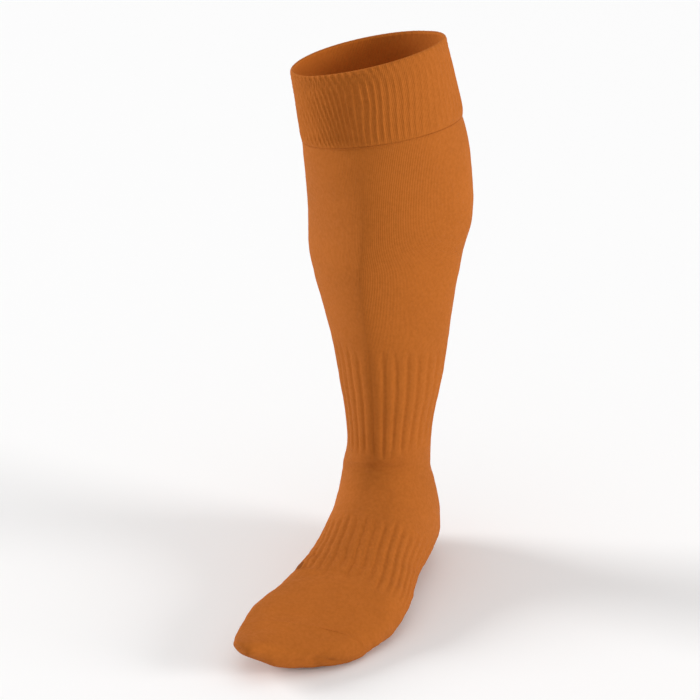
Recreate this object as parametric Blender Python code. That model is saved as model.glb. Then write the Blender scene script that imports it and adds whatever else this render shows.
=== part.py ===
"""Knee-high knitted football sock, in the form it has when worn on a left leg.

Metres, +Z up. The toes point to -Y and the little toe is on the +X side. The origin is the
middle of the cuff's opening. Each knitted piece is a hollow wall lofted through rings, and
the rings follow the rows of the tables below, whose lengths are shares of the named sizes.
"""
import math
from collections import namedtuple

import bpy
from mathutils import Vector

# Leg
SHIN_LENGTH = 0.2378  # hem of the cuff to the narrowest place of the ankle
CALF_WIDTH = 0.1232
CALF_DEPTH = 0.119
ANKLE_WIDTH = 0.062
ANKLE_DEPTH = 0.078
LEG_SQUARE = 2.05  # 2 is an ellipse, more is squarer
SHIN_SQUARE = 1.45  # the same for a narrower front, along the shin bone and the instep
LEG_BELOW_ANKLE = 0.004  # how far the leg piece runs on below the narrowest place

# Cuff
CUFF_HEIGHT = 0.0530
RIM_WIDTH = 0.1105
RIM_RISE = 0.0022  # how much the rim rises on one side
RIM_RISE_AT = math.radians(235.0)  # where it rises, from the front towards the little toe
CUFF_LEAN = math.radians(13.2)
LEAN_LENGTH = 0.182  # length of leg and cuff over which the lean builds up
LEAN_TOWARDS = math.radians(198.0)  # direction of the lean, turned about +Z from +X

# Foot
FOOT_LENGTH = 0.250
ANKLE_HEIGHT = 0.092  # sole of the heel to the narrowest place of the ankle
ANKLE_SET_BACK = 0.046  # back of the heel to the leg's axis
BALL_WIDTH = 0.098
HEEL_WIDTH = 0.068
POINT_DOWN = math.radians(1.0)  # how far the toes point below level
FOOT_ROLL = math.radians(10.0)  # how far the little toe's side rolls down
TOE_POCKET = 0.036  # length of the closed toe piece
TOE_SLANT = 0.019  # how far the big toe runs ahead of the middle of the toe line
TOE_CORNER = 0.080  # how fast the toe line turns back on the outer side of the big toe
TOE_RIPPLE = 0.0015  # depth of the dips between the toes
TOE_LIFT = 0.0075  # how far the big toe is lifted above the others

# Knit
WALL = 0.0016  # jersey wall
TIP_WALL = 0.009  # length of the toe piece that lies ahead of its hollow
WELT_WALL = 0.0030  # double wall of the cuff
WELT_STEP = 0.0012  # how far the cuff stands proud of the leg
CUFF_RIBS = 70
CUFF_RIB_DEPTH = 0.0007
RIBS = 28  # ribs round the ankle and round the arch
RIB_DEPTH = 0.0006
SEAM_WIDTH = 0.0024
SEAM_HEIGHT = 0.0009
GAP = 0.0003  # clearance between neighbouring pieces

# Rings along each piece
CUFF_RINGS = 6
LEG_RINGS = 20
FOOT_RINGS = 24
TOE_RINGS = 9

# Leg, from the hem down. down: share of SHIN_LENGTH. full: 1 is the calf, 0 the ankle.
# ahead: share of the depth that lies ahead of the leg's axis. shift: share of CALF_WIDTH
# towards the little toe's side. shin: 1 where the front is narrowest, 0 where it is round.
LegRow = namedtuple("LegRow", "down full ahead shift shin")
LEG = [
    LegRow(0.00, 0.870, 0.410, 0.010, 0.00),
    LegRow(0.06, 0.940, 0.410, 0.007, 0.30),
    LegRow(0.17, 0.992, 0.400, -0.004, 0.70),
    LegRow(0.30, 1.000, 0.405, -0.022, 1.00),
    LegRow(0.40, 0.865, 0.420, -0.053, 1.00),
    LegRow(0.53, 0.645, 0.440, -0.040, 0.90),
    LegRow(0.67, 0.412, 0.460, -0.010, 0.70),
    LegRow(0.81, 0.225, 0.480, 0.005, 0.50),
    LegRow(0.92, 0.060, 0.495, 0.006, 0.45),
    LegRow(1.00, 0.000, 0.500, 0.004, 0.45),
]

# Foot, from the ankle to the toe, seen from the side. top and sole: shares of FOOT_LENGTH
# from the back of the heel, for the upper and the lower end of a ring. top_up and sole_up:
# shares of ANKLE_HEIGHT above the sole. heel and ball: shares of HEEL_WIDTH and BALL_WIDTH
# that add up to the width. shift: share of BALL_WIDTH towards the little toe. belly: where
# the widest line lies, from the upper end (0) to the lower end (1). square: 2 is an ellipse.
# slant: share of TOE_SLANT. toes: share of the toes' own sizes. roll: share of FOOT_ROLL.
# ridge: 1 where the upper side is as narrow as the shin, 0 where it is round.
FootRow = namedtuple(
    "FootRow", "top top_up sole sole_up heel ball shift belly square slant toes roll ridge"
)
FOOT = [
    FootRow(0.336, 0.895, 0.020, 0.70, 0.95, 0.00, -0.016, 0.50, 2.1, 0.00, 0.00, 0.00, 0.45),
    FootRow(0.345, 0.825, 0.000, 0.45, 1.03, 0.00, -0.012, 0.51, 2.1, 0.00, 0.00, 0.00, 0.45),
    FootRow(0.366, 0.750, 0.012, 0.20, 1.12, 0.00, 0.003, 0.53, 2.2, 0.00, 0.00, 0.05, 0.45),
    FootRow(0.402, 0.680, 0.080, 0.02, 1.12, 0.05, 0.018, 0.56, 2.3, 0.00, 0.00, 0.10, 0.45),
    FootRow(0.455, 0.600, 0.215, 0.00, 0.96, 0.17, 0.028, 0.58, 2.3, 0.00, 0.00, 0.20, 0.45),
    FootRow(0.530, 0.510, 0.390, 0.03, 0.65, 0.39, 0.034, 0.60, 2.3, 0.00, 0.00, 0.40, 0.40),
    FootRow(0.620, 0.425, 0.560, 0.02, 0.26, 0.72, 0.042, 0.61, 2.3, 0.00, 0.00, 0.65, 0.30),
    FootRow(0.715, 0.355, 0.700, 0.00, 0.00, 0.93, 0.008, 0.60, 2.4, 0.00, 0.00, 0.85, 0.15),
    FootRow(0.810, 0.300, 0.805, 0.00, 0.00, 0.92, -0.064, 0.60, 2.3, 0.35, 0.00, 1.00, 0.00),
    FootRow(0.900, 0.255, 0.895, 0.00, 0.00, 0.85, -0.088, 0.58, 2.2, 0.80, 0.15, 1.00, 0.00),
    FootRow(0.960, 0.230, 0.955, 0.01, 0.00, 0.74, -0.100, 0.56, 2.2, 0.98, 0.70, 1.00, 0.00),
    FootRow(0.984, 0.210, 0.981, 0.04, 0.00, 0.66, -0.105, 0.54, 2.2, 1.00, 1.00, 1.00, 0.00),
    FootRow(0.996, 0.180, 0.995, 0.08, 0.00, 0.58, -0.108, 0.52, 2.2, 1.00, 1.00, 1.00, 0.00),
    FootRow(1.000, 0.145, 1.000, 0.11, 0.00, 0.51, -0.108, 0.50, 2.2, 1.00, 1.00, 1.00, 0.00),
]

# Toes across the foot, from the big toe's side (-1) to the little toe's side (1).
TOE_EDGES = (-1.00, -0.36, -0.02, 0.30, 0.63, 1.00)
BIG_TOE = -0.68

# Ribbed zones along a piece, as shares of the piece's length
Zone = namedtuple("Zone", "start end fade")
ANKLE_RIBS = Zone(start=0.656, end=0.99, fade=0.04)
ARCH_RIBS = Zone(start=0.426, end=0.776, fade=0.05)

# Cross-section of the toe seam. along: share of SEAM_WIDTH. up: share of SEAM_HEIGHT.
SeamRow = namedtuple("SeamRow", "along up")
SEAM = [
    SeamRow(-0.5, 0.0),
    SeamRow(0.5, 0.0),
    SeamRow(0.3, 0.8),
    SeamRow(0.0, 1.0),
    SeamRow(-0.3, 0.8),
]
SEAM_REACH = 11  # columns of the foot that the seam covers to each side of the middle

# A ring of the sock from its front or upper end to its back or lower end
Section = namedtuple(
    "Section",
    "front_y front_z back_y back_z half shift belly square front_square slant toes roll",
)


def mixed(low, high, share):
    return low + (high - low) * share


def smooth(share):
    """Eases from 0 to 1 as share does, with a level start and end."""
    share = min(max(share, 0.0), 1.0)
    return share * share * (3.0 - 2.0 * share)


def evenly(first, last, count):
    return [mixed(first, last, i / (count - 1)) for i in range(count)]


def closer_at_end(first, last, count):
    """Values from first to last whose steps grow shorter towards last."""
    return [mixed(last, first, (1.0 - i / (count - 1)) ** 2) for i in range(count)]


def leg_section(row):
    depth = mixed(ANKLE_DEPTH, CALF_DEPTH, row.full)
    height = SHIN_LENGTH * (1.0 - row.down)
    return Section(
        front_y=-depth * row.ahead,
        front_z=height,
        back_y=depth * (1.0 - row.ahead),
        back_z=height,
        half=mixed(ANKLE_WIDTH, CALF_WIDTH, row.full) / 2.0,
        shift=row.shift * CALF_WIDTH,
        belly=0.5,
        square=LEG_SQUARE,
        front_square=mixed(LEG_SQUARE, SHIN_SQUARE, row.shin),
        slant=0.0,
        toes=0.0,
        roll=0.0,
    )


def foot_point(along, up):
    """A point of the foot's side view as (y, z) from the ankle, with the toes pointed down."""
    ahead = along * FOOT_LENGTH - ANKLE_SET_BACK
    above = (up - 1.0) * ANKLE_HEIGHT
    forward = ahead * math.cos(POINT_DOWN) + above * math.sin(POINT_DOWN)
    rise = above * math.cos(POINT_DOWN) - ahead * math.sin(POINT_DOWN)
    return -forward, rise


def foot_section(row):
    front_y, front_z = foot_point(row.top, row.top_up)
    back_y, back_z = foot_point(row.sole, row.sole_up)
    return Section(
        front_y=front_y,
        front_z=front_z,
        back_y=back_y,
        back_z=back_z,
        half=(row.heel * HEEL_WIDTH + row.ball * BALL_WIDTH) / 2.0,
        shift=row.shift * BALL_WIDTH,
        belly=row.belly,
        square=row.square,
        front_square=mixed(row.square, SHIN_SQUARE, row.ridge),
        slant=row.slant * TOE_SLANT,
        toes=row.toes,
        roll=row.roll * FOOT_ROLL,
    )


def stations_of(sections):
    """Distance of each section from the first, along the longer of its two side lines."""
    found = [0.0]
    for one, two in zip(sections, sections[1:]):
        front = math.dist((one.front_y, one.front_z), (two.front_y, two.front_z))
        back = math.dist((one.back_y, one.back_z), (two.back_y, two.back_z))
        found.append(found[-1] + max(front, back))
    return found


BODY = [leg_section(row) for row in LEG] + [foot_section(row) for row in FOOT]
STATIONS = stations_of(BODY)


def slopes(values):
    """Slope of one value of the body's sections at each station."""
    last = len(values) - 1
    found = []
    for i in range(last + 1):
        low = max(i - 1, 0)
        high = min(i + 1, last)
        found.append((values[high] - values[low]) / (STATIONS[high] - STATIONS[low]))
    return found


BODY_SLOPES = [Section(*row) for row in zip(*(slopes(column) for column in zip(*BODY)))]

# Where the leg piece, the foot piece and the toe piece end, as stations
LEG_END = SHIN_LENGTH + LEG_BELOW_ANKLE
TOE_END = STATIONS[-1]
FOOT_END = TOE_END - TOE_POCKET


def body_section(station):
    """The section at a station, on a smooth curve through the rows of both tables."""
    i = 0
    while i < len(BODY) - 2 and station > STATIONS[i + 1]:
        i += 1
    span = STATIONS[i + 1] - STATIONS[i]
    t = (station - STATIONS[i]) / span
    start = (1.0 + 2.0 * t) * (1.0 - t) ** 2
    end = t * t * (3.0 - 2.0 * t)
    leave = span * t * (1.0 - t) ** 2
    arrive = span * t * t * (t - 1.0)
    return Section(
        *(
            start * a + end * b + leave * c + arrive * d
            for a, b, c, d in zip(BODY[i], BODY[i + 1], BODY_SLOPES[i], BODY_SLOPES[i + 1])
        )
    )


def toe_dip(across):
    """1 between two toes, 0 on the middle of a toe and along the sides of the foot."""
    middles = [(low + high) / 2.0 for low, high in zip(TOE_EDGES, TOE_EDGES[1:])]
    for low, high, joint in zip(middles, middles[1:], TOE_EDGES[1:]):
        if low < across < joint:
            return smooth((across - low) / (joint - low))
        if joint <= across < high:
            return smooth((high - across) / (high - joint))
    return 0.0


def section_point(section, angle):
    """The point of a section's outline at an angle from its front, turning towards +X."""
    sine = math.sin(angle)
    cosine = math.cos(angle)
    square = section.front_square if cosine > 0.0 else section.square
    radius = (abs(sine) ** square + abs(cosine) ** square) ** (-1.0 / square)
    across = sine * radius
    ahead = cosine * radius
    span = Vector((0.0, section.back_y - section.front_y, section.back_z - section.front_z))
    if ahead > 0.0:
        down = -section.belly * ahead * span.length
    else:
        down = -(1.0 - section.belly) * ahead * span.length
    out = section.half * across
    corner = TOE_CORNER * max(BIG_TOE - across, 0.0) ** 2
    reach = -section.slant * across - section.toes * (corner + TOE_RIPPLE * toe_dip(across))
    big_toe = smooth((TOE_EDGES[2] - across) / (TOE_EDGES[2] - BIG_TOE))
    down -= TOE_LIFT * section.toes * big_toe
    forward = Vector((0.0, -math.cos(POINT_DOWN), -math.sin(POINT_DOWN)))
    side = Vector((1.0, 0.0, 0.0))
    middle = Vector((section.shift, section.front_y, section.front_z)) + span * section.belly
    turned = side * (out * math.cos(section.roll) - down * math.sin(section.roll))
    turned += span.normalized() * (out * math.sin(section.roll) + down * math.cos(section.roll))
    return middle + turned + forward * reach


RIM_Z = SHIN_LENGTH + CUFF_HEIGHT
LEAN_STARTS = RIM_Z - LEAN_LENGTH
LEAN_WAY = Vector((math.cos(LEAN_TOWARDS), math.sin(LEAN_TOWARDS), 0.0))


def leaned(point):
    """Bends the upper leg and the cuff sideways along an arc."""
    above = point.z - LEAN_STARTS
    if above <= 0.0:
        return point.copy()
    radius = LEAN_LENGTH / CUFF_LEAN
    turn = above / radius
    side = point.dot(LEAN_WAY)
    across = Vector((point.x, point.y, 0.0)) - LEAN_WAY * side
    centre = LEAN_WAY * (radius * (1.0 - math.cos(turn)))
    centre.z = LEAN_STARTS + radius * math.sin(turn)
    turned = LEAN_WAY * math.cos(turn)
    turned.z = -math.sin(turn)
    return centre + across + turned * side


HEM = leg_section(LEG[0])
HEM_MIDDLE = Vector((HEM.shift, (HEM.front_y + HEM.back_y) / 2.0, 0.0))
ORIGIN = leaned(HEM_MIDDLE + Vector((0.0, 0.0, RIM_Z)))


def placed(rings):
    return [[leaned(point) - ORIGIN for point in ring] for ring in rings]


def body_rings(stations):
    """Smooth rings of the leg and foot, with a column for each rib and each groove."""
    columns = 2 * RIBS
    angles = [2.0 * math.pi * j / columns for j in range(columns)]
    return [
        [section_point(body_section(station), angle) for angle in angles]
        for station in stations
    ]


def normals_of(rings):
    """Outward normals of a grid of rings that run down the sock."""
    found = []
    for i, ring in enumerate(rings):
        above = rings[max(i - 1, 0)]
        below = rings[min(i + 1, len(rings) - 1)]
        row = []
        for j in range(len(ring)):
            along = below[j] - above[j]
            around = ring[(j + 1) % len(ring)] - ring[j - 1]
            row.append(along.cross(around).normalized())
        found.append(row)
    return found


def pushed(rings, depth_at):
    """Rings moved in along their normals by depth_at(ring, column)."""
    normals = normals_of(rings)
    return [
        [point - normals[i][j] * depth_at(i, j) for j, point in enumerate(ring)]
        for i, ring in enumerate(rings)
    ]


def every_other(rings):
    return [ring[::2] for ring in rings]


def band_faces(first, second, columns, outward):
    """Faces between two rings of as many points, given by their first point's number."""
    faces = []
    for j in range(columns):
        k = (j + 1) % columns
        face = (first + j, second + j, second + k, first + k)
        faces.append(face if outward else face[::-1])
    return faces


def edge_faces(outer, inner, columns, at_start):
    """The edge of a wall, from an outer ring to an inner ring of half as many points."""
    faces = []
    half = columns // 2
    for k in range(half):
        a = outer + 2 * k
        b = a + 1
        c = outer + (2 * k + 2) % columns
        p = inner + k
        q = inner + (k + 1) % half
        for face in ((a, b, p), (b, c, q), (b, q, p)):
            faces.append(face if at_start else face[::-1])
    return faces


def end_faces(ring, columns, outward):
    """Closes a low ring by strips from its upper half down to its lower half."""
    faces = []
    half = columns // 2
    quarter = columns // 4
    for j in range(-quarter, quarter):
        corners = (j % columns, (j + 1) % columns, half - j - 1, half - j)
        face = tuple(ring + corner for corner in dict.fromkeys(corners))
        faces.append(face[::-1] if outward else face)
    return faces


def solid(name, material, points, faces):
    mesh = bpy.data.meshes.new(name)
    mesh.from_pydata([tuple(point) for point in points], [], faces)
    mesh.shade_smooth()
    mesh.set_sharp_from_angle(angle=math.radians(50.0))
    mesh.materials.append(material)
    bpy.context.scene.collection.objects.link(bpy.data.objects.new(name, mesh))


def shell(name, material, outer, inner, closed=False):
    """A wall between outer rings and inner rings of half as many points."""
    columns = len(outer[0])
    points = [point for ring in outer + inner for point in ring]
    outer_first = [i * columns for i in range(len(outer))]
    inner_base = len(outer) * columns
    inner_first = [inner_base + i * (columns // 2) for i in range(len(inner))]
    faces = []
    for one, two in zip(outer_first, outer_first[1:]):
        faces += band_faces(one, two, columns, True)
    for one, two in zip(inner_first, inner_first[1:]):
        faces += band_faces(one, two, columns // 2, False)
    faces += edge_faces(outer_first[0], inner_first[0], columns, True)
    if closed:
        faces += end_faces(outer_first[-1], columns, True)
        faces += end_faces(inner_first[-1], columns // 2, False)
    else:
        faces += edge_faces(outer_first[-1], inner_first[-1], columns, False)
    solid(name, material, points, faces)


def cuff_ring(share, out):
    """A ring of the cuff at a share of its height, out metres outside the leg's hem."""
    narrow = mixed(1.0, RIM_WIDTH / (2.0 * HEM.half), share)
    height = RIM_Z - CUFF_HEIGHT * (1.0 - share)
    ring = []
    for j in range(2 * CUFF_RIBS):
        angle = math.pi * j / CUFF_RIBS
        flat = section_point(HEM, angle) - HEM_MIDDLE
        flat.z = 0.0
        flat = flat * narrow + flat.normalized() * out
        rise = RIM_RISE * share * max(math.cos(angle - RIM_RISE_AT), 0.0)
        ring.append(HEM_MIDDLE + flat + Vector((0.0, 0.0, height + rise)))
    return ring


def add_cuff(material):
    """The ribbed double welt, proud of the leg at the hem."""
    outer = []
    inner = []
    for share in evenly(1.0, GAP / CUFF_HEIGHT, CUFF_RINGS):
        ridges = cuff_ring(share, WELT_STEP)
        grooves = cuff_ring(share, WELT_STEP - CUFF_RIB_DEPTH)
        outer.append([groove if j % 2 else ridges[j] for j, groove in enumerate(grooves)])
        inner.append(cuff_ring(share, WELT_STEP - WELT_WALL))
    shell("cuff", material, placed(outer), placed(every_other(inner)))


def add_ribbed_tube(name, material, first, last, rings, zone):
    """A stretch of the leg and foot between two stations, with a ribbed zone."""
    stations = evenly(first, last, rings)

    def groove(i, j):
        share = i / (rings - 1)
        rise = smooth((share - zone.start) / zone.fade + 0.5)
        fall = smooth((zone.end - share) / zone.fade + 0.5)
        return RIB_DEPTH * rise * fall * (j % 2)

    outer = pushed(body_rings(stations), groove)
    inner = pushed(body_rings(stations), lambda i, j: WALL)
    shell(name, material, placed(outer), placed(every_other(inner)))


def add_toe(material):
    """The closed toe pocket."""
    first = FOOT_END + GAP
    outer = body_rings(closer_at_end(first, TOE_END, TOE_RINGS))
    hollow = body_rings(evenly(first, TOE_END - TIP_WALL, TOE_RINGS))
    inner = pushed(hollow, lambda i, j: WALL)
    shell("toe", material, placed(outer), placed(every_other(inner)), closed=True)


def add_toe_seam(material):
    """The linked seam that runs over the toes, on the joint of foot and toe."""
    middle = FOOT_END + GAP / 2.0
    lines = []
    for row in SEAM:
        station = middle + row.along * SEAM_WIDTH
        near = body_rings([station - SEAM_WIDTH, station, station + SEAM_WIDTH])
        raised = pushed(near, lambda i, j: -(GAP + row.up * SEAM_HEIGHT))[1]
        lines.append([raised[j] for j in range(-SEAM_REACH, SEAM_REACH + 1)])
    lines = placed(lines)
    columns = len(lines[0])
    points = [line[j] for j in range(columns) for line in lines]
    count = len(SEAM)
    faces = []
    for j in range(columns - 1):
        for s in range(count):
            t = (s + 1) % count
            here = j * count
            there = here + count
            faces.append((here + s, there + s, there + t, here + t))
    faces.append(tuple(range(count)))
    faces.append(tuple(range(columns * count - 1, (columns - 1) * count - 1, -1)))
    solid("toe_seam", material, points, faces)


def yarn(name, colour, roughness):
    material = bpy.data.materials.new(name)
    material.use_nodes = True
    shader = material.node_tree.nodes["Principled BSDF"]
    shader.inputs["Base Color"].default_value = (*colour, 1.0)
    shader.inputs["Roughness"].default_value = roughness
    shader.inputs["Metallic"].default_value = 0.0
    return material


def build():
    for old in list(bpy.data.objects):
        bpy.data.objects.remove(old)
    ribbed = yarn("ribbed_knit", (0.46, 0.130, 0.024), 0.90)
    jersey = yarn("jersey_knit", (0.48, 0.138, 0.025), 0.85)
    thread = yarn("seam_thread", (0.44, 0.124, 0.023), 0.80)
    add_cuff(ribbed)
    add_ribbed_tube("leg", jersey, 0.0, LEG_END, LEG_RINGS, ANKLE_RIBS)
    add_ribbed_tube("foot", jersey, LEG_END + GAP, FOOT_END, FOOT_RINGS, ARCH_RIBS)
    add_toe(jersey)
    add_toe_seam(thread)


build()
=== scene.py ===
import math
from collections import namedtuple

import bpy
import numpy as np
from mathutils import Matrix, Vector


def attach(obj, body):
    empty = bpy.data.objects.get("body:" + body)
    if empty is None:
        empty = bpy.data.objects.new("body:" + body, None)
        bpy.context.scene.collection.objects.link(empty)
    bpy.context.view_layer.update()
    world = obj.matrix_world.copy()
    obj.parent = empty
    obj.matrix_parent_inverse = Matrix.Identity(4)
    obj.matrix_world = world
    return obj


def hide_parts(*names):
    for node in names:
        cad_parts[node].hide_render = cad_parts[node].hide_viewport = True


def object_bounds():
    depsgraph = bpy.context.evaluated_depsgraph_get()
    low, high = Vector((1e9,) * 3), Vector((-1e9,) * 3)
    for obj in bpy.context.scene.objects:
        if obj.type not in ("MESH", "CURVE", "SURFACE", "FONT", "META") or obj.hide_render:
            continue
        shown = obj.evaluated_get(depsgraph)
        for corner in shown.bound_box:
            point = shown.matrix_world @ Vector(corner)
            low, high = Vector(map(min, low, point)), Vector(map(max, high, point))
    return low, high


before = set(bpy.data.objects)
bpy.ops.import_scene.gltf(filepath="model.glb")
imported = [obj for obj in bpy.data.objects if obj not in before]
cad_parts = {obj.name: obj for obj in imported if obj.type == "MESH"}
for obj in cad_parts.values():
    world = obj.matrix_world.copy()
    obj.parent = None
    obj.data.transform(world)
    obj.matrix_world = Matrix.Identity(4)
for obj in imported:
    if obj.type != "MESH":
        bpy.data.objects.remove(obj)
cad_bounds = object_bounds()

# Leg
SHIN_LENGTH = 0.2378  # hem of the cuff to the narrowest place of the ankle
CALF_WIDTH = 0.1232
CALF_DEPTH = 0.119
ANKLE_WIDTH = 0.062
ANKLE_DEPTH = 0.078
LEG_SQUARE = 2.05  # 2 is an ellipse, more is squarer
SHIN_SQUARE = 1.45  # the same for a narrower front, along the shin bone and the instep
LEG_BELOW_ANKLE = 0.004  # how far the leg piece runs on below the narrowest place

# Cuff
CUFF_HEIGHT = 0.0530
RIM_WIDTH = 0.1105
RIM_RISE = 0.0022  # how much the rim rises on one side
RIM_RISE_AT = math.radians(235.0)  # where it rises, from the front towards the little toe
CUFF_LEAN = math.radians(13.2)
LEAN_LENGTH = 0.182  # length of leg and cuff over which the lean builds up
LEAN_TOWARDS = math.radians(198.0)  # direction of the lean, turned about +Z from +X

# Foot
FOOT_LENGTH = 0.250
ANKLE_HEIGHT = 0.092  # sole of the heel to the narrowest place of the ankle
ANKLE_SET_BACK = 0.046  # back of the heel to the leg's axis
BALL_WIDTH = 0.098
HEEL_WIDTH = 0.068
POINT_DOWN = math.radians(1.0)  # how far the toes point below level
FOOT_ROLL = math.radians(10.0)  # how far the little toe's side rolls down
TOE_POCKET = 0.036  # length of the closed toe piece
TOE_SLANT = 0.019  # how far the big toe runs ahead of the middle of the toe line
TOE_CORNER = 0.080  # how fast the toe line turns back on the outer side of the big toe
TOE_RIPPLE = 0.0015  # depth of the dips between the toes
TOE_LIFT = 0.0075  # how far the big toe is lifted above the others
TOE_EASING = 60  # rounds of smoothing over the closed end of the toe

# Knit
WALL = 0.0016  # jersey wall
WELT_WALL = 0.0030  # double wall of the cuff
WELT_STEP = 0.0012  # how far the cuff stands proud of the leg
NEEDLES = 144  # wales round the sock
COURSE = 0.0011  # height of one row of stitches
CUFF_RIBS = 70
ANKLE_RIBS = 28
ARCH_RIBS = 36

# Leg, from the hem down. down: share of SHIN_LENGTH. full: 1 is the calf, 0 the ankle.
# ahead: share of the depth that lies ahead of the leg's axis. shift: share of CALF_WIDTH
# towards the little toe's side. shin: 1 where the front is narrowest, 0 where it is round.
LegRow = namedtuple("LegRow", "down full ahead shift shin")
LEG = [
    LegRow(0.00, 0.870, 0.410, 0.010, 0.00),
    LegRow(0.06, 0.940, 0.410, 0.007, 0.30),
    LegRow(0.17, 0.992, 0.400, -0.004, 0.70),
    LegRow(0.30, 1.000, 0.405, -0.022, 1.00),
    LegRow(0.40, 0.865, 0.420, -0.053, 1.00),
    LegRow(0.53, 0.645, 0.440, -0.040, 0.90),
    LegRow(0.67, 0.412, 0.460, -0.010, 0.70),
    LegRow(0.81, 0.225, 0.480, 0.005, 0.50),
    LegRow(0.92, 0.060, 0.495, 0.006, 0.45),
    LegRow(1.00, 0.000, 0.500, 0.004, 0.45),
]

# Foot, from the ankle to the toe, seen from the side. top and sole: shares of FOOT_LENGTH
# from the back of the heel, for the upper and the lower end of a ring. top_up and sole_up:
# shares of ANKLE_HEIGHT above the sole. heel and ball: shares of HEEL_WIDTH and BALL_WIDTH
# that add up to the width. shift: share of BALL_WIDTH towards the little toe. belly: where
# the widest line lies, from the upper end (0) to the lower end (1). square: 2 is an ellipse.
# slant: share of TOE_SLANT. toes: share of the toes' own sizes. roll: share of FOOT_ROLL.
# ridge: 1 where the upper side is as narrow as the shin, 0 where it is round.
FootRow = namedtuple(
    "FootRow", "top top_up sole sole_up heel ball shift belly square slant toes roll ridge"
)
FOOT = [
    FootRow(0.336, 0.895, 0.020, 0.70, 0.95, 0.00, -0.016, 0.50, 2.1, 0.00, 0.00, 0.00, 0.45),
    FootRow(0.345, 0.825, 0.000, 0.45, 1.03, 0.00, -0.012, 0.51, 2.1, 0.00, 0.00, 0.00, 0.45),
    FootRow(0.366, 0.750, 0.012, 0.20, 1.12, 0.00, 0.003, 0.53, 2.2, 0.00, 0.00, 0.05, 0.45),
    FootRow(0.402, 0.680, 0.080, 0.02, 1.12, 0.05, 0.018, 0.56, 2.3, 0.00, 0.00, 0.10, 0.45),
    FootRow(0.455, 0.600, 0.215, 0.00, 0.96, 0.17, 0.028, 0.58, 2.3, 0.00, 0.00, 0.20, 0.45),
    FootRow(0.530, 0.510, 0.390, 0.03, 0.65, 0.39, 0.034, 0.60, 2.3, 0.00, 0.00, 0.40, 0.40),
    FootRow(0.620, 0.425, 0.560, 0.02, 0.26, 0.72, 0.042, 0.61, 2.3, 0.00, 0.00, 0.65, 0.30),
    FootRow(0.715, 0.355, 0.700, 0.00, 0.00, 0.93, 0.008, 0.60, 2.4, 0.00, 0.00, 0.85, 0.15),
    FootRow(0.810, 0.300, 0.805, 0.00, 0.00, 0.92, -0.064, 0.60, 2.3, 0.35, 0.00, 1.00, 0.00),
    FootRow(0.900, 0.255, 0.895, 0.00, 0.00, 0.85, -0.088, 0.58, 2.2, 0.80, 0.15, 1.00, 0.00),
    FootRow(0.960, 0.230, 0.955, 0.01, 0.00, 0.74, -0.100, 0.56, 2.2, 0.98, 0.70, 1.00, 0.00),
    FootRow(0.984, 0.210, 0.981, 0.04, 0.00, 0.66, -0.105, 0.54, 2.2, 1.00, 1.00, 1.00, 0.00),
    FootRow(0.996, 0.180, 0.995, 0.08, 0.00, 0.58, -0.108, 0.52, 2.2, 1.00, 1.00, 1.00, 0.00),
    FootRow(1.000, 0.145, 1.000, 0.11, 0.00, 0.51, -0.108, 0.50, 2.2, 1.00, 1.00, 1.00, 0.00),
]

# Toes across the foot, from the big toe's side (-1) to the little toe's side (1).
TOE_EDGES = (-1.00, -0.36, -0.02, 0.30, 0.63, 1.00)
BIG_TOE = -0.68

# Ribbed zones, as shares of the leg piece and of the foot piece
Zone = namedtuple("Zone", "start end fade")
ANKLE_ZONE = Zone(start=0.656, end=0.99, fade=0.05)
ARCH_ZONE = Zone(start=0.426, end=0.776, fade=0.07)
ANKLE_RIB_DEPTH = 0.0009
ARCH_RIB_DEPTH = 0.0009
CUFF_RIB_DEPTH = 0.0011
ANKLE_GROOVE = 0.20  # half width of a groove as a share of the ribs' distance
ARCH_GROOVE = 0.22
RIB_UNEVEN = 0.012  # how unevenly the ribs end, as a share of the piece
RIB_WANDER = 14.0  # radians that the ribs turn aside for each metre of the slow waves

# Loose knit over the forefoot and the toes, and the linked seam over the toes
LUMP_HEIGHT = 0.00035
LUMP_LENGTH = 0.011
LUMPS_AROUND = 16
FINE_LUMP_LENGTH = 0.006
FINE_LUMPS_AROUND = 28
LUMPS_START = 0.40  # station where the lumps begin
LUMPS_FADE = 0.05
SEAM_REACH = math.radians(74.0)  # how far the seam runs to each side of the middle
SEAM_RIDGE = 0.0003
SEAM_WIDTH = 0.0011

# Threads: the loops along the hem and the thread of the seam over the toes
LOOP_RADIUS = 0.00038
LOOP_OUT = 0.0001  # how far the loops' middle line stands out of the leg
SEAM_RADIUS = 0.0004
SEAM_LOOPS = 90
SEAM_TAPER = 0.012  # length of the seam thread's thin ends

# Plain knitted bar on the inner side of the instep: first and last are stations, low and high
# are turns round the foot from the middle of the sole.
Bar = namedtuple("Bar", "first last low high")
BAR = Bar(first=0.450, last=0.4635, low=0.285, high=0.336)

# Fineness of the meshes
COLUMNS = 252  # a multiple of both rib counts
LEG_ROWS = 270
FOOT_ROWS = 290
TOE_ROWS = 64
INNER_STEP = 3  # rows and columns of the outer side for each one of the inner side
LOOP_COLUMNS = 16 * CUFF_RIBS
SEAM_COLUMNS = 400
THREAD_SIDES = 8

# A ring of the sock from its front or upper end to its back or lower end
Section = namedtuple(
    "Section",
    "front_y front_z back_y back_z half shift belly square front_square slant toes roll",
)


def mixed(low, high, share):
    return low + (high - low) * share


def smooth(share):
    """Eases from 0 to 1 as share does, with a level start and end."""
    share = np.clip(share, 0.0, 1.0)
    return share * share * (3.0 - 2.0 * share)


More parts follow.
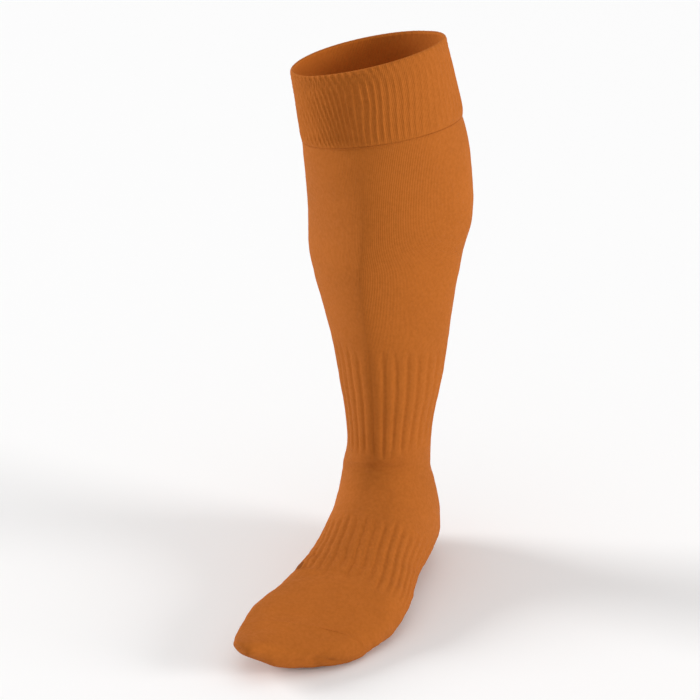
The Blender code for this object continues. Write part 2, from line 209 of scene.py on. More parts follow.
def leg_section(row):
    depth = mixed(ANKLE_DEPTH, CALF_DEPTH, row.full)
    height = SHIN_LENGTH * (1.0 - row.down)
    return Section(
        front_y=-depth * row.ahead,
        front_z=height,
        back_y=depth * (1.0 - row.ahead),
        back_z=height,
        half=mixed(ANKLE_WIDTH, CALF_WIDTH, row.full) / 2.0,
        shift=row.shift * CALF_WIDTH,
        belly=0.5,
        square=LEG_SQUARE,
        front_square=mixed(LEG_SQUARE, SHIN_SQUARE, row.shin),
        slant=0.0,
        toes=0.0,
        roll=0.0,
    )


def foot_point(along, up):
    """A point of the foot's side view as (y, z) from the ankle, with the toes pointed down."""
    ahead = along * FOOT_LENGTH - ANKLE_SET_BACK
    above = (up - 1.0) * ANKLE_HEIGHT
    forward = ahead * math.cos(POINT_DOWN) + above * math.sin(POINT_DOWN)
    rise = above * math.cos(POINT_DOWN) - ahead * math.sin(POINT_DOWN)
    return -forward, rise


def foot_section(row):
    front_y, front_z = foot_point(row.top, row.top_up)
    back_y, back_z = foot_point(row.sole, row.sole_up)
    return Section(
        front_y=front_y,
        front_z=front_z,
        back_y=back_y,
        back_z=back_z,
        half=(row.heel * HEEL_WIDTH + row.ball * BALL_WIDTH) / 2.0,
        shift=row.shift * BALL_WIDTH,
        belly=row.belly,
        square=row.square,
        front_square=mixed(row.square, SHIN_SQUARE, row.ridge),
        slant=row.slant * TOE_SLANT,
        toes=row.toes,
        roll=row.roll * FOOT_ROLL,
    )


BODY = np.array([leg_section(row) for row in LEG] + [foot_section(row) for row in FOOT])


def stations_of(body):
    """Distance of each section from the first, along the longer of its two side lines."""
    steps = np.diff(body[:, :4], axis=0)
    front = np.hypot(steps[:, 0], steps[:, 1])
    back = np.hypot(steps[:, 2], steps[:, 3])
    return np.concatenate([[0.0], np.cumsum(np.maximum(front, back))])


def slopes_of(body, stations):
    """Slope of each value of the sections at each station."""
    low = np.maximum(np.arange(len(body)) - 1, 0)
    high = np.minimum(np.arange(len(body)) + 1, len(body) - 1)
    return (body[high] - body[low]) / (stations[high] - stations[low])[:, None]


STATIONS = stations_of(BODY)
SLOPES = slopes_of(BODY, STATIONS)

# Where the leg, the foot and the toe end, as stations
LEG_END = SHIN_LENGTH + LEG_BELOW_ANKLE
TOE_END = STATIONS[-1]
FOOT_END = TOE_END - TOE_POCKET


def sections_at(stations):
    """The sections at several stations, on a smooth curve through the rows of both tables."""
    i = np.clip(np.searchsorted(STATIONS, stations, side="right") - 1, 0, len(BODY) - 2)
    span = STATIONS[i + 1] - STATIONS[i]
    t = (stations - STATIONS[i]) / span
    start = (1.0 + 2.0 * t) * (1.0 - t) ** 2
    end = t * t * (3.0 - 2.0 * t)
    leave = span * t * (1.0 - t) ** 2
    arrive = span * t * t * (t - 1.0)
    values = start[:, None] * BODY[i] + end[:, None] * BODY[i + 1]
    values += leave[:, None] * SLOPES[i] + arrive[:, None] * SLOPES[i + 1]
    return Section(*(values[:, k][:, None] for k in range(values.shape[1])))


def toe_dips(across):
    """1 between two toes, 0 on the middle of a toe and along the sides of the foot."""
    middles = [(low + high) / 2.0 for low, high in zip(TOE_EDGES, TOE_EDGES[1:])]
    found = np.zeros_like(across)
    for low, high, joint in zip(middles, middles[1:], TOE_EDGES[1:]):
        found += smooth((across - low) / (joint - low)) * (across < joint) * (across > low)
        found += smooth((high - across) / (high - joint)) * (across >= joint) * (across < high)
    return found


def outline_points(section, angles):
    """Points of the sections' outlines at angles from their fronts, turning towards +X."""
    sine = np.sin(angles)[None, :]
    cosine = np.cos(angles)[None, :]
    square = np.where(cosine > 0.0, section.front_square, section.square)
    radius = (np.abs(sine) ** square + np.abs(cosine) ** square) ** (-1.0 / square)
    across = sine * radius
    ahead = cosine * radius
    span_y = section.back_y - section.front_y
    span_z = section.back_z - section.front_z
    length = np.hypot(span_y, span_z)
    down = -np.where(ahead > 0.0, section.belly, 1.0 - section.belly) * ahead * length
    big_toe = smooth((TOE_EDGES[2] - across) / (TOE_EDGES[2] - BIG_TOE))
    down = down - TOE_LIFT * section.toes * big_toe
    out = section.half * across
    corner = TOE_CORNER * np.maximum(BIG_TOE - across, 0.0) ** 2
    reach = -section.slant * across
    reach = reach - section.toes * (corner + TOE_RIPPLE * toe_dips(across))
    sunk = out * np.sin(section.roll) + down * np.cos(section.roll)
    x = section.shift + out * np.cos(section.roll) - down * np.sin(section.roll)
    y = section.front_y + span_y * (section.belly + sunk / length)
    z = section.front_z + span_z * (section.belly + sunk / length)
    y = y - reach * math.cos(POINT_DOWN)
    z = z - reach * math.sin(POINT_DOWN)
    return np.stack([x, y, z], axis=-1)


RIM_Z = SHIN_LENGTH + CUFF_HEIGHT
LEAN_STARTS = RIM_Z - LEAN_LENGTH
LEAN_WAY = np.array([math.cos(LEAN_TOWARDS), math.sin(LEAN_TOWARDS), 0.0])


def leaned(points):
    """Bends the upper leg and the cuff sideways along an arc."""
    above = np.maximum(points[..., 2:] - LEAN_STARTS, 0.0)
    radius = LEAN_LENGTH / CUFF_LEAN
    turn = above / radius
    side = (points @ LEAN_WAY)[..., None]
    flat = points * (1.0, 1.0, 0.0)
    up = np.array([0.0, 0.0, 1.0])
    centre = LEAN_WAY * (radius * (1.0 - np.cos(turn))) + up * (radius * np.sin(turn))
    low = np.minimum(points[..., 2:], LEAN_STARTS)
    return flat - LEAN_WAY * side + centre + up * low + side * (
        LEAN_WAY * np.cos(turn) - up * np.sin(turn)
    )


HEM = leg_section(LEG[0])
HEM_MIDDLE = np.array([HEM.shift, (HEM.front_y + HEM.back_y) / 2.0, 0.0])
ORIGIN = leaned((HEM_MIDDLE + (0.0, 0.0, RIM_Z))[None])[0]


def placed(points):
    return leaned(points) - ORIGIN


def normals_of(points):
    """Outward normals of a grid of rings that run down the sock."""
    along = np.gradient(points, axis=0)
    around = np.roll(points, -1, axis=1) - np.roll(points, 1, axis=1)
    found = np.cross(along, around)
    return found / np.linalg.norm(found, axis=-1, keepdims=True)


# Uneven surface of a real knit: slow waves whose size, length and direction vary
Wave = namedtuple("Wave", "height along around turn")
WAVES = [
    Wave(0.00022, 0.090, 2, 0.4),
    Wave(0.00016, 0.052, 3, 2.1),
    Wave(0.00012, 0.034, 5, 4.0),
    Wave(0.00008, 0.021, 7, 1.3),
    Wave(0.00006, 0.013, 11, 5.2),
]


def waves(stations, angles):
    total = 0.0
    for wave in WAVES:
        phase = 2.0 * math.pi * stations[:, None] / wave.along
        total = total + wave.height * np.sin(phase + wave.turn) * np.cos(
            wave.around * angles[None, :] + 1.7 * wave.turn + 0.3 * phase
        )
    return total


def ring_noise(rng, way, length, columns, around):
    """Smooth noise of about unit size on a grid of rings, one lump per length of the way."""
    u = (way - way.min()) / length
    v = np.arange(columns) * around / columns
    knots = rng.normal(0.0, 1.0, (int(u.max()) + 2, around))
    i = u.astype(int)
    j = v.astype(int)
    s = smooth(u - i)[:, None]
    t = smooth(v - j)[None, :]
    i = i[:, None]
    low = mixed(knots[i, j % around], knots[i, (j + 1) % around], t)
    high = mixed(knots[i + 1, j % around], knots[i + 1, (j + 1) % around], t)
    return mixed(low, high, s)


def ribbed_zone(rng, share, zone, ribs, width, turned):
    """1 in the middle of each groove between two ribs of a zone, 0 on the ribs and outside."""
    uneven = np.repeat(rng.normal(0.0, RIB_UNEVEN, ribs), COLUMNS // ribs)[None]
    rise = smooth((share - zone.start + uneven) / zone.fade + 0.5)
    fall = smooth((zone.end + uneven - share) / zone.fade + 0.5)
    place = ribs * turned / (2.0 * math.pi)
    away = np.abs(place - np.round(place))
    return np.exp(-((away / width) ** 2)) * (rise * fall)


def body_grid():
    """Stations and points of the whole leg, foot and toe, with ribs and unevenness."""
    leg = np.linspace(0.0, LEG_END, LEG_ROWS, endpoint=False)
    foot = np.linspace(LEG_END, FOOT_END, FOOT_ROWS, endpoint=False)
    toe = np.linspace(FOOT_END, TOE_END, TOE_ROWS)
    stations = np.concatenate([leg, foot, toe])
    angles = math.pi + 2.0 * math.pi * np.arange(COLUMNS) / COLUMNS
    points = outline_points(sections_at(stations), angles)
    rng = np.random.default_rng(7)
    slow = waves(stations, angles)
    turned = angles[None] + slow * RIB_WANDER
    share = (stations / LEG_END)[:, None]
    ankle = ribbed_zone(rng, share, ANKLE_ZONE, ANKLE_RIBS, ANKLE_GROOVE, turned)
    share = ((stations - LEG_END) / (FOOT_END - LEG_END))[:, None]
    arch = ribbed_zone(rng, share, ARCH_ZONE, ARCH_RIBS, ARCH_GROOVE, turned)
    coarse = ring_noise(rng, stations, LUMP_LENGTH, COLUMNS, LUMPS_AROUND)
    fine = ring_noise(rng, stations, FINE_LUMP_LENGTH, COLUMNS, FINE_LUMPS_AROUND)
    lumps = LUMP_HEIGHT * coarse + 0.5 * LUMP_HEIGHT * fine
    lumps = lumps * smooth((stations - LUMPS_START) / LUMPS_FADE)[:, None]
    ridge = np.exp(-(((stations - FOOT_END) / SEAM_WIDTH) ** 2))[:, None]
    reach = (np.cos(angles) > math.cos(SEAM_REACH))[None]
    height = slow - ANKLE_RIB_DEPTH * ankle - ARCH_RIB_DEPTH * arch + lumps
    height = height + SEAM_RIDGE * ridge * reach
    return stations, points + normals_of(points) * height[..., None]


def eased_toe(stations, points):
    """Rounds the closed end of the toe, more towards its tip."""
    weight = smooth((stations - FOOT_END) / TOE_POCKET * 1.3 - 0.15)[:, None, None]
    for _ in range(TOE_EASING):
        below = np.concatenate([points[1:], points[-1:][:, mirrored_columns()]])
        above = np.concatenate([points[:1], points[:-1]])
        beside = np.roll(points, 1, axis=1) + np.roll(points, -1, axis=1)
        points = mixed(points, (above + below + beside) / 4.0, 0.5 * weight)
    return points


def mirrored_columns():
    """The column under each column, once the toe's end is closed from top to sole."""
    return (COLUMNS - COLUMNS // 2 - np.arange(COLUMNS)) % COLUMNS


def grid_faces(rows, columns, flipped=False, first=0):
    faces = []
    for i in range(rows - 1):
        for j in range(columns):
            k = (j + 1) % columns
            a = first + i * columns
            b = a + columns
            face = (a + j, b + j, b + k, a + k)
            faces.append(face[::-1] if flipped else face)
    return faces


def grid_uvs(stations, columns, flipped=False):
    """Turns round the sock (0 to 1) and station of each face corner, in grid_faces' order."""
    found = []
    for low, high in zip(stations, stations[1:]):
        for j in range(columns):
            corners = [
                (j / columns, low), (j / columns, high),
                ((j + 1) / columns, high), ((j + 1) / columns, low),
            ]
            found += corners[::-1] if flipped else corners
    return found


def add_piece(name, points, faces, uvs, normals, material, nodes, patches=()):
    """patches: pairs of another material's name and the faces that have it."""
    mesh = bpy.data.meshes.new(name)
    mesh.from_pydata(points.tolist(), [], faces)
    layer = mesh.uv_layers.new(name="knit")
    layer.data.foreach_set("uv", np.array(uvs, dtype=np.float32).ravel())
    mesh.shade_smooth()
    if normals is not None:
        mesh.normals_split_custom_set_from_vertices(normals.tolist())
    mesh.materials.append(material)
    for index, (other, patch) in enumerate(patches, start=1):
        mesh.materials.append(bpy.data.materials[other])
        for k in patch:
            mesh.polygons[k].material_index = index
    piece = bpy.data.objects.new(name, mesh)
    bpy.context.scene.collection.objects.link(piece)
    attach(piece, "root")
    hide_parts(*nodes)


def add_body(jersey):
    """Leg, foot and toe: one knit that runs on, cut into three pieces."""
    stations, grid = body_grid()
    grid = placed(eased_toe(stations, grid))
    normals = normals_of(grid)
    inner = grid - normals * WALL
    cuts = [0, LEG_ROWS, LEG_ROWS + FOOT_ROWS, len(stations) - 1]
    names = ["leg_knit", "foot_knit", "toe_knit"]
    for name, node, start, end in zip(names, ("leg", "foot", "toe"), cuts, cuts[1:]):
        rows = slice(start, end + 1)
        outer = grid[rows].reshape(-1, 3)
        count = end + 1 - start
        faces = grid_faces(count, COLUMNS)
        uvs = grid_uvs(stations[rows], COLUMNS)
        if node == "toe":
            closing, closing_uvs = end_strips((count - 1) * COLUMNS, stations[end])
            faces += closing
            uvs += closing_uvs
        keep = sorted({*range(start, end + 1, INNER_STEP), end})
        inside = inner[keep][:, ::INNER_STEP]
        inner_columns = inside.shape[1]
        inner_start = len(faces)
        faces += grid_faces(len(keep), inner_columns, True, len(outer))
        uvs += grid_uvs(stations[keep], inner_columns, True)
        inside_normals = -normals[keep][:, ::INNER_STEP]
        patches = [("orange_inside_painted_light", range(inner_start, len(faces)))]
        if node == "foot":
            patches.append(("brown_bar", bar_faces(stations[rows])))
        add_piece(
            name,
            np.concatenate([outer, inside.reshape(-1, 3)]),
            faces,
            uvs,
            np.concatenate([normals[rows].reshape(-1, 3), inside_normals.reshape(-1, 3)]),
            jersey,
            [node],
            patches,
        )


def bar_faces(stations):
    """Faces of the plain bar on the inner side of the instep."""
    found = []
    for i, station in enumerate(stations[:-1]):
        for j in range(COLUMNS):
            turn = (j + 0.5) / COLUMNS
            if BAR.first <= station <= BAR.last and BAR.low <= turn <= BAR.high:
                found.append(i * COLUMNS + j)
    return found


def end_strips(ring, station):
    """Closes the toe by strips from the ring's upper half down to its lower half."""
    faces = []
    uvs = []
    under = mirrored_columns()
    quarter = COLUMNS // 4
    for j in range(quarter, 3 * quarter):
        k = j + 1
        corners = [j, k, int(under[k]), int(under[j])]
        kept = list(dict.fromkeys(corners))
        faces.append(tuple(ring + corner for corner in kept)[::-1])
        uvs += [(corner / COLUMNS, station) for corner in kept][::-1]
    return faces, uvs


# The cuff's wall, from its lower inside over the rim and down to the hem. up: share of
# CUFF_HEIGHT above the hem. out: share of WELT_WALL from the wall's inner side. rib: share
# of the ribs' depth.
WeltRow = namedtuple("WeltRow", "up out rib")
WELT = [
    WeltRow(-0.020, 0.04, 0.0),
    WeltRow(0.500, 0.03, 0.0),
    WeltRow(0.900, 0.05, 0.1),
    WeltRow(0.968, 0.10, 0.3),
    WeltRow(0.988, 0.24, 0.4),
    WeltRow(0.998, 0.42, 0.5),
    WeltRow(1.000, 0.58, 0.6),
    WeltRow(0.992, 0.80, 0.8),
    WeltRow(0.975, 0.95, 0.9),
    WeltRow(0.950, 1.00, 1.0),
    WeltRow(0.500, 1.00, 1.0),
    WeltRow(0.130, 1.00, 1.0),
    WeltRow(0.085, 0.97, 0.8),
    WeltRow(0.050, 0.90, 0.6),
    WeltRow(0.020, 0.80, 0.3),
    WeltRow(0.000, 0.69, 0.1),
    WeltRow(-0.008, 0.58, 0.0),
    WeltRow(-0.012, 0.40, 0.0),
]
WELT_ROWS = 120
CUFF_COLUMNS = 10 * CUFF_RIBS

# How far the foot of each rib is turned away from its top: turn is the azimuth of its top,
# from the front towards the little toe, and fan is the turn of its foot, both in degrees.
# deep: share of the ribs' depth, less where the calf stretches the cuff.
FanRow = namedtuple("FanRow", "turn fan deep")
FAN = [
    FanRow(-180.0, 0.0, 0.50),
    FanRow(-110.0, 21.0, 0.30),
    FanRow(-70.0, 24.0, 0.30),
    FanRow(-48.0, 23.0, 0.70),
    FanRow(-32.0, 17.0, 1.00),
    FanRow(-24.0, 13.0, 1.00),
    FanRow(-14.0, 8.0, 1.00),
    FanRow(-6.0, 4.0, 1.00),
    FanRow(4.0, 0.5, 0.95),
    FanRow(12.0, 0.0, 0.80),
    FanRow(30.0, -1.5, 0.45),
    FanRow(49.0, -4.5, 0.35),
    FanRow(62.0, -1.5, 0.30),
    FanRow(90.0, 0.0, 0.40),
    FanRow(180.0, 0.0, 0.50),
]
RIB_BEND = math.radians(3.5)  # how far the ribs bow sideways in the upper part of the cuff
RIDGE = 0.17  # half width of a ridge as a share of the ribs' distance
BOW_TOP = 0.77  # height of the bow's widest place, as a share of the cuff's
CUFF_WANDER = 6.0  # radians that the ribs turn aside for each metre of the slow waves
JITTER = 0.008  # radians that the ribs tremble
JITTER_LENGTH = 0.016
JITTERS_AROUND = 30
INSIDE_OUT = 0.2  # share of WELT_WALL up to which the wall counts as its inner side


def cuff_points(up, out, angles):
    """Points at heights above the hem (share of CUFF_HEIGHT) and metres out of the leg."""
    narrow = mixed(1.0, RIM_WIDTH / (2.0 * HEM.half), up)
    hem = outline_points(Section(*(np.array([[value]]) for value in HEM)), angles)[0]
    flat = (hem - HEM_MIDDLE) * (1.0, 1.0, 0.0)
    outward = flat / np.linalg.norm(flat, axis=-1, keepdims=True)
    rise = RIM_RISE * np.clip(up, 0.0, 1.0) * np.maximum(np.cos(angles - RIM_RISE_AT), 0.0)[None]
    height = SHIN_LENGTH + CUFF_HEIGHT * up + rise
    points = flat[None] * narrow[..., None] + outward[None] * out[..., None]
    points[..., 2] = height
    return points + HEM_MIDDLE


def add_cuff(ribbed):
    """The ribbed double welt with its rounded rim and its hem over the leg."""
    table = np.array(WELT)
    way = np.concatenate([[0.0], np.cumsum(np.hypot(
        np.diff(table[:, 0]) * CUFF_HEIGHT, np.diff(table[:, 1]) * WELT_WALL
    ))])
    bends = np.interp(np.linspace(0, len(way) - 1, WELT_ROWS), np.arange(len(way)), way)
    up, out, rib = (np.interp(bends, way, table[:, k])[:, None] for k in range(3))
    inner_rows = int((out[: WELT_ROWS // 2] < INSIDE_OUT).sum())
    angles = math.pi + 2.0 * math.pi * np.arange(CUFF_COLUMNS) / CUFF_COLUMNS
    slow = waves(bends, angles)
    turned = (np.degrees(angles) + 180.0) % 360.0 - 180.0
    fan = np.array(FAN)
    tops = fan[:, 0]
    level = np.clip(up, 0.0, 1.0)
    bow = smooth(level / BOW_TOP) * smooth((1.0 - level) / (1.0 - BOW_TOP))
    bow = math.degrees(RIB_BEND) * bow
    fanned = [fan[:, 1] * (1.0 - share) for share in level[:, 0]]
    drift = np.stack([np.interp(turned, tops + turns, turns) for turns in fanned])
    rng = np.random.default_rng(3)
    jitter = ring_noise(rng, bends, JITTER_LENGTH, CUFF_COLUMNS, JITTERS_AROUND)
    label = np.radians(turned[None] - drift - bow) + slow * CUFF_WANDER + jitter * JITTER
    place = CUFF_RIBS * label / (2.0 * math.pi)
    away = np.abs(place - np.round(place))
    ridge = np.exp(-((away / RIDGE) ** 2))
    rib = rib * np.interp(turned, tops, fan[:, 2])[None]
    out = WELT_STEP - WELT_WALL + WELT_WALL * out + CUFF_RIB_DEPTH * rib * (ridge - 1.0)
    grid = placed(cuff_points(up, out + slow * 0.8, angles))
    add_piece(
        "cuff_knit",
        grid.reshape(-1, 3),
        grid_faces(WELT_ROWS, CUFF_COLUMNS, True),
        grid_uvs(bends, CUFF_COLUMNS, True),
        None,
        ribbed,
        ["cuff"],
        [("orange_inside_painted_light", range(inner_rows * CUFF_COLUMNS))],
    )


def add_thread(name, line, outward, radius, beads, material, nodes, closed):
    """A row of small loops that follows a line of points, with the surface's normals."""
    sides = THREAD_SIDES
    count = len(line)
    along = np.gradient(line, axis=0)
    along /= np.linalg.norm(along, axis=-1, keepdims=True)
    across = np.cross(along, outward)
    way = np.concatenate([[0.0], np.cumsum(np.linalg.norm(np.diff(line, axis=0), axis=-1))])
    swell = 0.72 + 0.28 * np.abs(np.sin(math.pi * beads * way / way[-1]))
    if not closed:
        swell = swell * (0.1 + 0.9 * smooth(np.minimum(way, way[-1] - way) / SEAM_TAPER))
    turns = 2.0 * math.pi * np.arange(sides) / sides
    spokes = across[:, None] * np.cos(turns)[None, :, None]
    spokes = spokes + outward[:, None] * np.sin(turns)[None, :, None]
    points = line[:, None] + spokes * (radius * swell)[:, None, None]
    faces = []
    uvs = []
    for i in range(count if closed else count - 1):
        a = i * sides
        b = (i + 1) % count * sides
        for j in range(sides):
            k = (j + 1) % sides
            faces.append((a + j, a + k, b + k, b + j))
            left, right = j / sides, (j + 1) / sides
            low, high = way[i], way[i] + way[-1] / count
            uvs += [(left, low), (right, low), (right, high), (left, high)]
    if not closed:
        faces += [tuple(range(sides))[::-1], tuple(range((count - 1) * sides, count * sides))]
        uvs += [(0.5, 0.0)] * (2 * sides)
    add_piece(name, points.reshape(-1, 3), faces, uvs, None, material, nodes)


def add_loops(thread):
    """The row of linking loops along the hem."""
    angles = math.pi + 2.0 * math.pi * np.arange(LOOP_COLUMNS) / LOOP_COLUMNS
    up = np.full((1, LOOP_COLUMNS), WELT[-1].up)
    line = placed(cuff_points(up, np.full(up.shape, LOOP_OUT), angles))[0]
    further = placed(cuff_points(up, np.full(up.shape, WELT_STEP), angles))[0]
    outward = (further - line) / np.linalg.norm(further - line, axis=-1, keepdims=True)
    add_thread("hem_loops", line, outward, LOOP_RADIUS, 2 * CUFF_RIBS, thread, [], True)


def add_toe_seam(thread):
    """The linked seam that runs over the toes."""
    angles = np.linspace(-SEAM_REACH, SEAM_REACH, SEAM_COLUMNS)
    rings = outline_points(sections_at(FOOT_END + np.array([-0.001, 0.0, 0.001])), angles)
    along = rings[2] - rings[0]
    around = np.gradient(rings[1], axis=0)
    outward = np.cross(along, around)
    outward /= np.linalg.norm(outward, axis=-1, keepdims=True)
    line = placed(rings[1] + outward * (SEAM_RIDGE - 0.0001))
    add_thread(
        "toe_seam_thread", line, outward, SEAM_RADIUS, SEAM_LOOPS, thread, ["toe_seam"], False
    )


# Materials. The scales are lumps of noise for each metre.
DRIFT_SCALE = 14.0
MOTTLE_SCALE = 420.0
FUZZ_SCALE = 1900.0
RELIEF = 0.0005  # height of the stitches in the materials
THREAD_WALES = 8
LIGHT_YARN = (0.475, 0.133, 0.0180)
# darker end of the yarn's tone; the valleys between stitches are mixed towards it as painted shade
DARK_YARN_AND_STITCH_SHADE = (0.330, 0.090, 0.0115)
BAR_YARN = (0.280, 0.078, 0.0120)
INSIDE_YARN_PAINTED_LIGHT = (0.60, 0.168, 0.0210)  # yarn of the inner side, painted lighter to stand in for light inside the sock


def new_group(name, inputs, outputs):
    tree = bpy.data.node_groups.new(name, "ShaderNodeTree")
    for label, kind in inputs:
        tree.interface.new_socket(label, in_out="INPUT", socket_type=kind)
    for label, kind in outputs:
        tree.interface.new_socket(label, in_out="OUTPUT", socket_type=kind)
    source = tree.nodes.new("NodeGroupInput")
    sink = tree.nodes.new("NodeGroupOutput")
    return tree, source, sink


def feed(tree, socket, value):
    if isinstance(value, (int, float)):
        socket.default_value = value
    else:
        tree.links.new(value, socket)


def maths(tree, operation, *values):
    node = tree.nodes.new("ShaderNodeMath")
    node.operation = operation
    for socket, value in zip(node.inputs, values):
        feed(tree, socket, value)
    return node.outputs[0]


def ranged(tree, value, low, high, to_low, to_high):
    node = tree.nodes.new("ShaderNodeMapRange")
    for socket, number in zip(node.inputs, (value, low, high, to_low, to_high)):
        feed(tree, socket, number)
    return node.outputs[0]


def noise(tree, vector, scale, detail):
    node = tree.nodes.new("ShaderNodeTexNoise")
    node.inputs["Scale"].default_value = scale
    node.inputs["Detail"].default_value = detail
    tree.links.new(vector, node.inputs["Vector"])
    return node.outputs["Fac"]


def stitch_group():
    """Height of the V-shaped stitches of a knit, from turns round the sock and station."""
    tree, source, sink = new_group(
        "knit_stitches",
        [
            ("Knit", "NodeSocketVector"), ("Wales", "NodeSocketFloat"),
            ("Courses", "NodeSocketFloat"),
        ],
        [("Height", "NodeSocketFloat"), ("Valley", "NodeSocketFloat")],
    )
    parts = tree.nodes.new("ShaderNodeSeparateXYZ")
    tree.links.new(source.outputs["Knit"], parts.inputs[0])
    wale = maths(tree, "FRACT", maths(tree, "MULTIPLY", parts.outputs[0], source.outputs["Wales"]))
    side = maths(tree, "ABSOLUTE", maths(tree, "SUBTRACT", wale, 0.5))
    row = maths(tree, "MULTIPLY", parts.outputs[1], source.outputs["Courses"])
    row = maths(tree, "FRACT", maths(tree, "ADD", row, maths(tree, "MULTIPLY", side, -1.4)))
    leg = maths(tree, "SINE", maths(tree, "MULTIPLY", side, 2.0 * math.pi))
    bow = maths(tree, "SINE", maths(tree, "MULTIPLY", row, math.pi))
    height = maths(tree, "MULTIPLY", leg, ranged(tree, bow, 0.0, 1.0, 0.35, 1.0))
    tree.links.new(height, sink.inputs["Height"])
    # Valley: 1 between the stitches, where the yarn's colour is darkened as painted shade
    tree.links.new(ranged(tree, height, 0.0, 0.8, 1.0, 0.0), sink.inputs["Valley"])
    return tree


def yarn_group():
    """Colour of the yarn: slow drifts and fine mottling of its tone, and painted shade in the
    valleys between stitches.
    """
    tree, source, sink = new_group(
        "yarn_tone_and_stitch_shade",
        [
            ("Place", "NodeSocketVector"), ("Valley", "NodeSocketFloat"),
            ("Light Yarn", "NodeSocketColor"), ("Dark Yarn And Stitch Shade", "NodeSocketColor"),
        ],
        [
            ("Colour", "NodeSocketColor"), ("Roughness", "NodeSocketFloat"),
            ("Fuzz", "NodeSocketFloat"),
        ],
    )
    slow = noise(tree, source.outputs["Place"], DRIFT_SCALE, 3.0)
    mottle = noise(tree, source.outputs["Place"], MOTTLE_SCALE, 2.0)
    fuzz = noise(tree, source.outputs["Place"], FUZZ_SCALE, 1.0)
    # painted shade in the stitch valleys, plus random mottling and drift of the yarn's tone
    shade = maths(tree, "ADD", maths(tree, "MULTIPLY", source.outputs["Valley"], 0.30),
                  ranged(tree, mottle, 0.3, 0.7, -0.14, 0.22))
    shade = maths(tree, "ADD", shade, ranged(tree, slow, 0.3, 0.7, -0.12, 0.18))
    mix = tree.nodes.new("ShaderNodeMix")
    mix.data_type = "RGBA"
    mix.clamp_factor = True
    tree.links.new(shade, mix.inputs[0])
    tree.links.new(source.outputs["Light Yarn"], mix.inputs[6])
    tree.links.new(source.outputs["Dark Yarn And Stitch Shade"], mix.inputs[7])
    tree.links.new(mix.outputs[2], sink.inputs["Colour"])
    tree.links.new(ranged(tree, mottle, 0.3, 0.7, 0.78, 0.96), sink.inputs["Roughness"])
    tree.links.new(fuzz, sink.inputs["Fuzz"])
    return tree


def knit_material(name, wales, light, dark, strength):
    material = bpy.data.materials.new(name)
    material.use_nodes = True
    tree = material.node_tree
    shader = tree.nodes["Principled BSDF"]
    shader.inputs["Metallic"].default_value = 0.0
    shader.inputs["Sheen Weight"].default_value = 0.05
    shader.inputs["Sheen Roughness"].default_value = 0.45
    shader.inputs["Sheen Tint"].default_value = (1.0, 0.50, 0.20, 1.0)
    shader.inputs["Specular IOR Level"].default_value = 0.10
    uv = tree.nodes.new("ShaderNodeUVMap")
    uv.uv_map = "knit"
    place = tree.nodes.new("ShaderNodeTexCoord")
    stitches = tree.nodes.new("ShaderNodeGroup")
    stitches.node_tree = bpy.data.node_groups["knit_stitches"]
    stitches.inputs["Wales"].default_value = wales
    stitches.inputs["Courses"].default_value = 1.0 / COURSE
    tree.links.new(uv.outputs["UV"], stitches.inputs["Knit"])
    yarn = tree.nodes.new("ShaderNodeGroup")
    yarn.node_tree = bpy.data.node_groups["yarn_tone_and_stitch_shade"]
    yarn.inputs["Light Yarn"].default_value = (*light, 1.0)
    yarn.inputs["Dark Yarn And Stitch Shade"].default_value = (*dark, 1.0)
    tree.links.new(place.outputs["Object"], yarn.inputs["Place"])
    tree.links.new(stitches.outputs["Valley"], yarn.inputs["Valley"])
    tree.links.new(yarn.outputs["Roughness"], shader.inputs["Roughness"])
    tree.links.new(yarn.outputs["Colour"], shader.inputs["Base Color"])
    bump = tree.nodes.new("ShaderNodeBump")
    bump.inputs["Strength"].default_value = strength
    bump.inputs["Distance"].default_value = RELIEF
    height = maths(tree, "ADD", stitches.outputs["Height"],
                   maths(tree, "MULTIPLY", yarn.outputs["Fuzz"], 0.5))
    tree.links.new(height, bump.inputs["Height"])
    tree.links.new(bump.outputs["Normal"], shader.inputs["Normal"])
    return material


def add_materials():
    stitch_group()
    yarn_group()
    jersey = knit_material("orange_jersey", NEEDLES, LIGHT_YARN, DARK_YARN_AND_STITCH_SHADE, 0.55)
    ribbed = knit_material("orange_rib", 2 * CUFF_RIBS, LIGHT_YARN, DARK_YARN_AND_STITCH_SHADE, 0.55)
    thread = knit_material("orange_linking_thread", THREAD_WALES, LIGHT_YARN, DARK_YARN_AND_STITCH_SHADE, 0.4)
    # inner side: a lighter yarn, painted light in the sock's inside
    knit_material("orange_inside_painted_light", NEEDLES, INSIDE_YARN_PAINTED_LIGHT, LIGHT_YARN, 0.5)
    knit_material("brown_bar", NEEDLES, BAR_YARN, BAR_YARN, 0.5)
    return jersey, ribbed, thread


# Studio. turn: from the front towards +X. tilt: above the level. aside: how far the camera
# looks past the leg's axis.
Camera = namedtuple("Camera", "turn tilt distance height lens aside")
CAMERA = Camera(
    turn=math.radians(18.0), tilt=math.radians(20.0), distance=1.25, height=0.232,
    lens=91.44, aside=math.radians(0.564),
)


def direction(turn, tilt):
    return Vector((
        math.sin(turn) * math.cos(tilt), -math.cos(turn) * math.cos(tilt), math.sin(tilt),
    ))


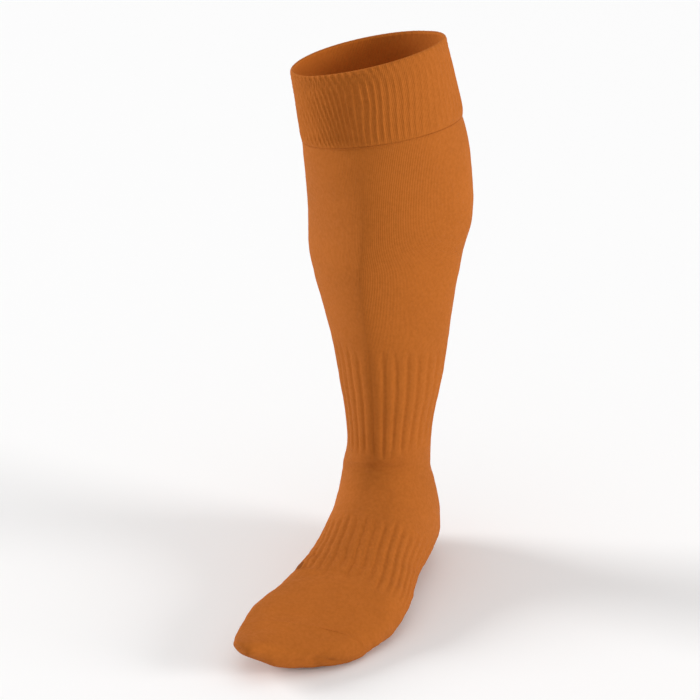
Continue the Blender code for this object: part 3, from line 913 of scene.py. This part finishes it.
def add_camera():
    data = bpy.data.cameras.new("camera")
    data.lens = CAMERA.lens
    data.sensor_width = 36.0
    camera = bpy.data.objects.new("camera", data)
    turn = CAMERA.turn
    aside = Matrix.Rotation(CAMERA.aside, 3, "Z")
    back = aside @ direction(turn, CAMERA.tilt)
    right = aside @ Vector((math.cos(turn), math.sin(turn), 0.0))
    axes = Matrix((right, back.cross(right), back)).transposed().to_4x4()
    spot = Vector((
        CAMERA.distance * math.sin(turn), -CAMERA.distance * math.cos(turn), CAMERA.height,
    ))
    camera.matrix_world = Matrix.Translation(spot) @ axes
    bpy.context.scene.collection.objects.link(camera)
    bpy.context.scene.camera = camera


# spread: angle that the soft light fills. power: watts per square metre.
Light = namedtuple("Light", "name turn tilt spread power")
LIGHTS = [
    Light("right_light", math.radians(92.0), math.radians(15.0), math.radians(25.0), 2.06),
    Light("left_light", math.radians(-88.0), math.radians(24.0), math.radians(25.0), 2.06),
    Light("top_light", math.radians(10.0), math.radians(85.0), math.radians(60.0), 0.40),
]
SKY = 0.50  # light that comes from all around
FLOOR_HALF = 6.0
FLOOR_DROP = 0.0004  # how far the floor lies below the sole


def add_lights():
    for light in LIGHTS:
        data = bpy.data.lights.new(light.name, "SUN")
        data.angle = light.spread
        data.energy = light.power
        lamp = bpy.data.objects.new(light.name, data)
        back = direction(light.turn, light.tilt)
        lamp.location = back
        lamp.rotation_euler = back.to_track_quat("Z", "Y").to_euler()
        bpy.context.scene.collection.objects.link(lamp)


def plain_material(name, colour, roughness):
    material = bpy.data.materials.new(name)
    material.use_nodes = True
    shader = material.node_tree.nodes["Principled BSDF"]
    shader.inputs["Base Color"].default_value = (*colour, 1.0)
    shader.inputs["Roughness"].default_value = roughness
    return material


def add_studio():
    half = FLOOR_HALF
    floor_z = cad_bounds[0][2] - FLOOR_DROP
    corners = [(-half, -half), (half, -half), (half, half), (-half, half)]
    mesh = bpy.data.meshes.new("floor")
    mesh.from_pydata([(x, y, floor_z) for x, y in corners], [], [(0, 1, 2, 3)])
    mesh.materials.append(plain_material("pale_floor", (0.92, 0.92, 0.92), 0.9))
    floor = bpy.data.objects.new("floor", mesh)
    bpy.context.scene.collection.objects.link(floor)
    world = bpy.data.worlds.new("studio")
    world.use_nodes = True
    background = world.node_tree.nodes["Background"]
    background.inputs["Color"].default_value = (1.0, 1.0, 1.0, 1.0)
    background.inputs["Strength"].default_value = SKY
    bpy.context.scene.world = world
    bpy.context.scene.view_settings.view_transform = "Standard"


jersey, ribbed, thread = add_materials()
add_camera()
add_body(jersey)
add_cuff(ribbed)
add_loops(thread)
add_toe_seam(thread)
add_studio()
add_lights()
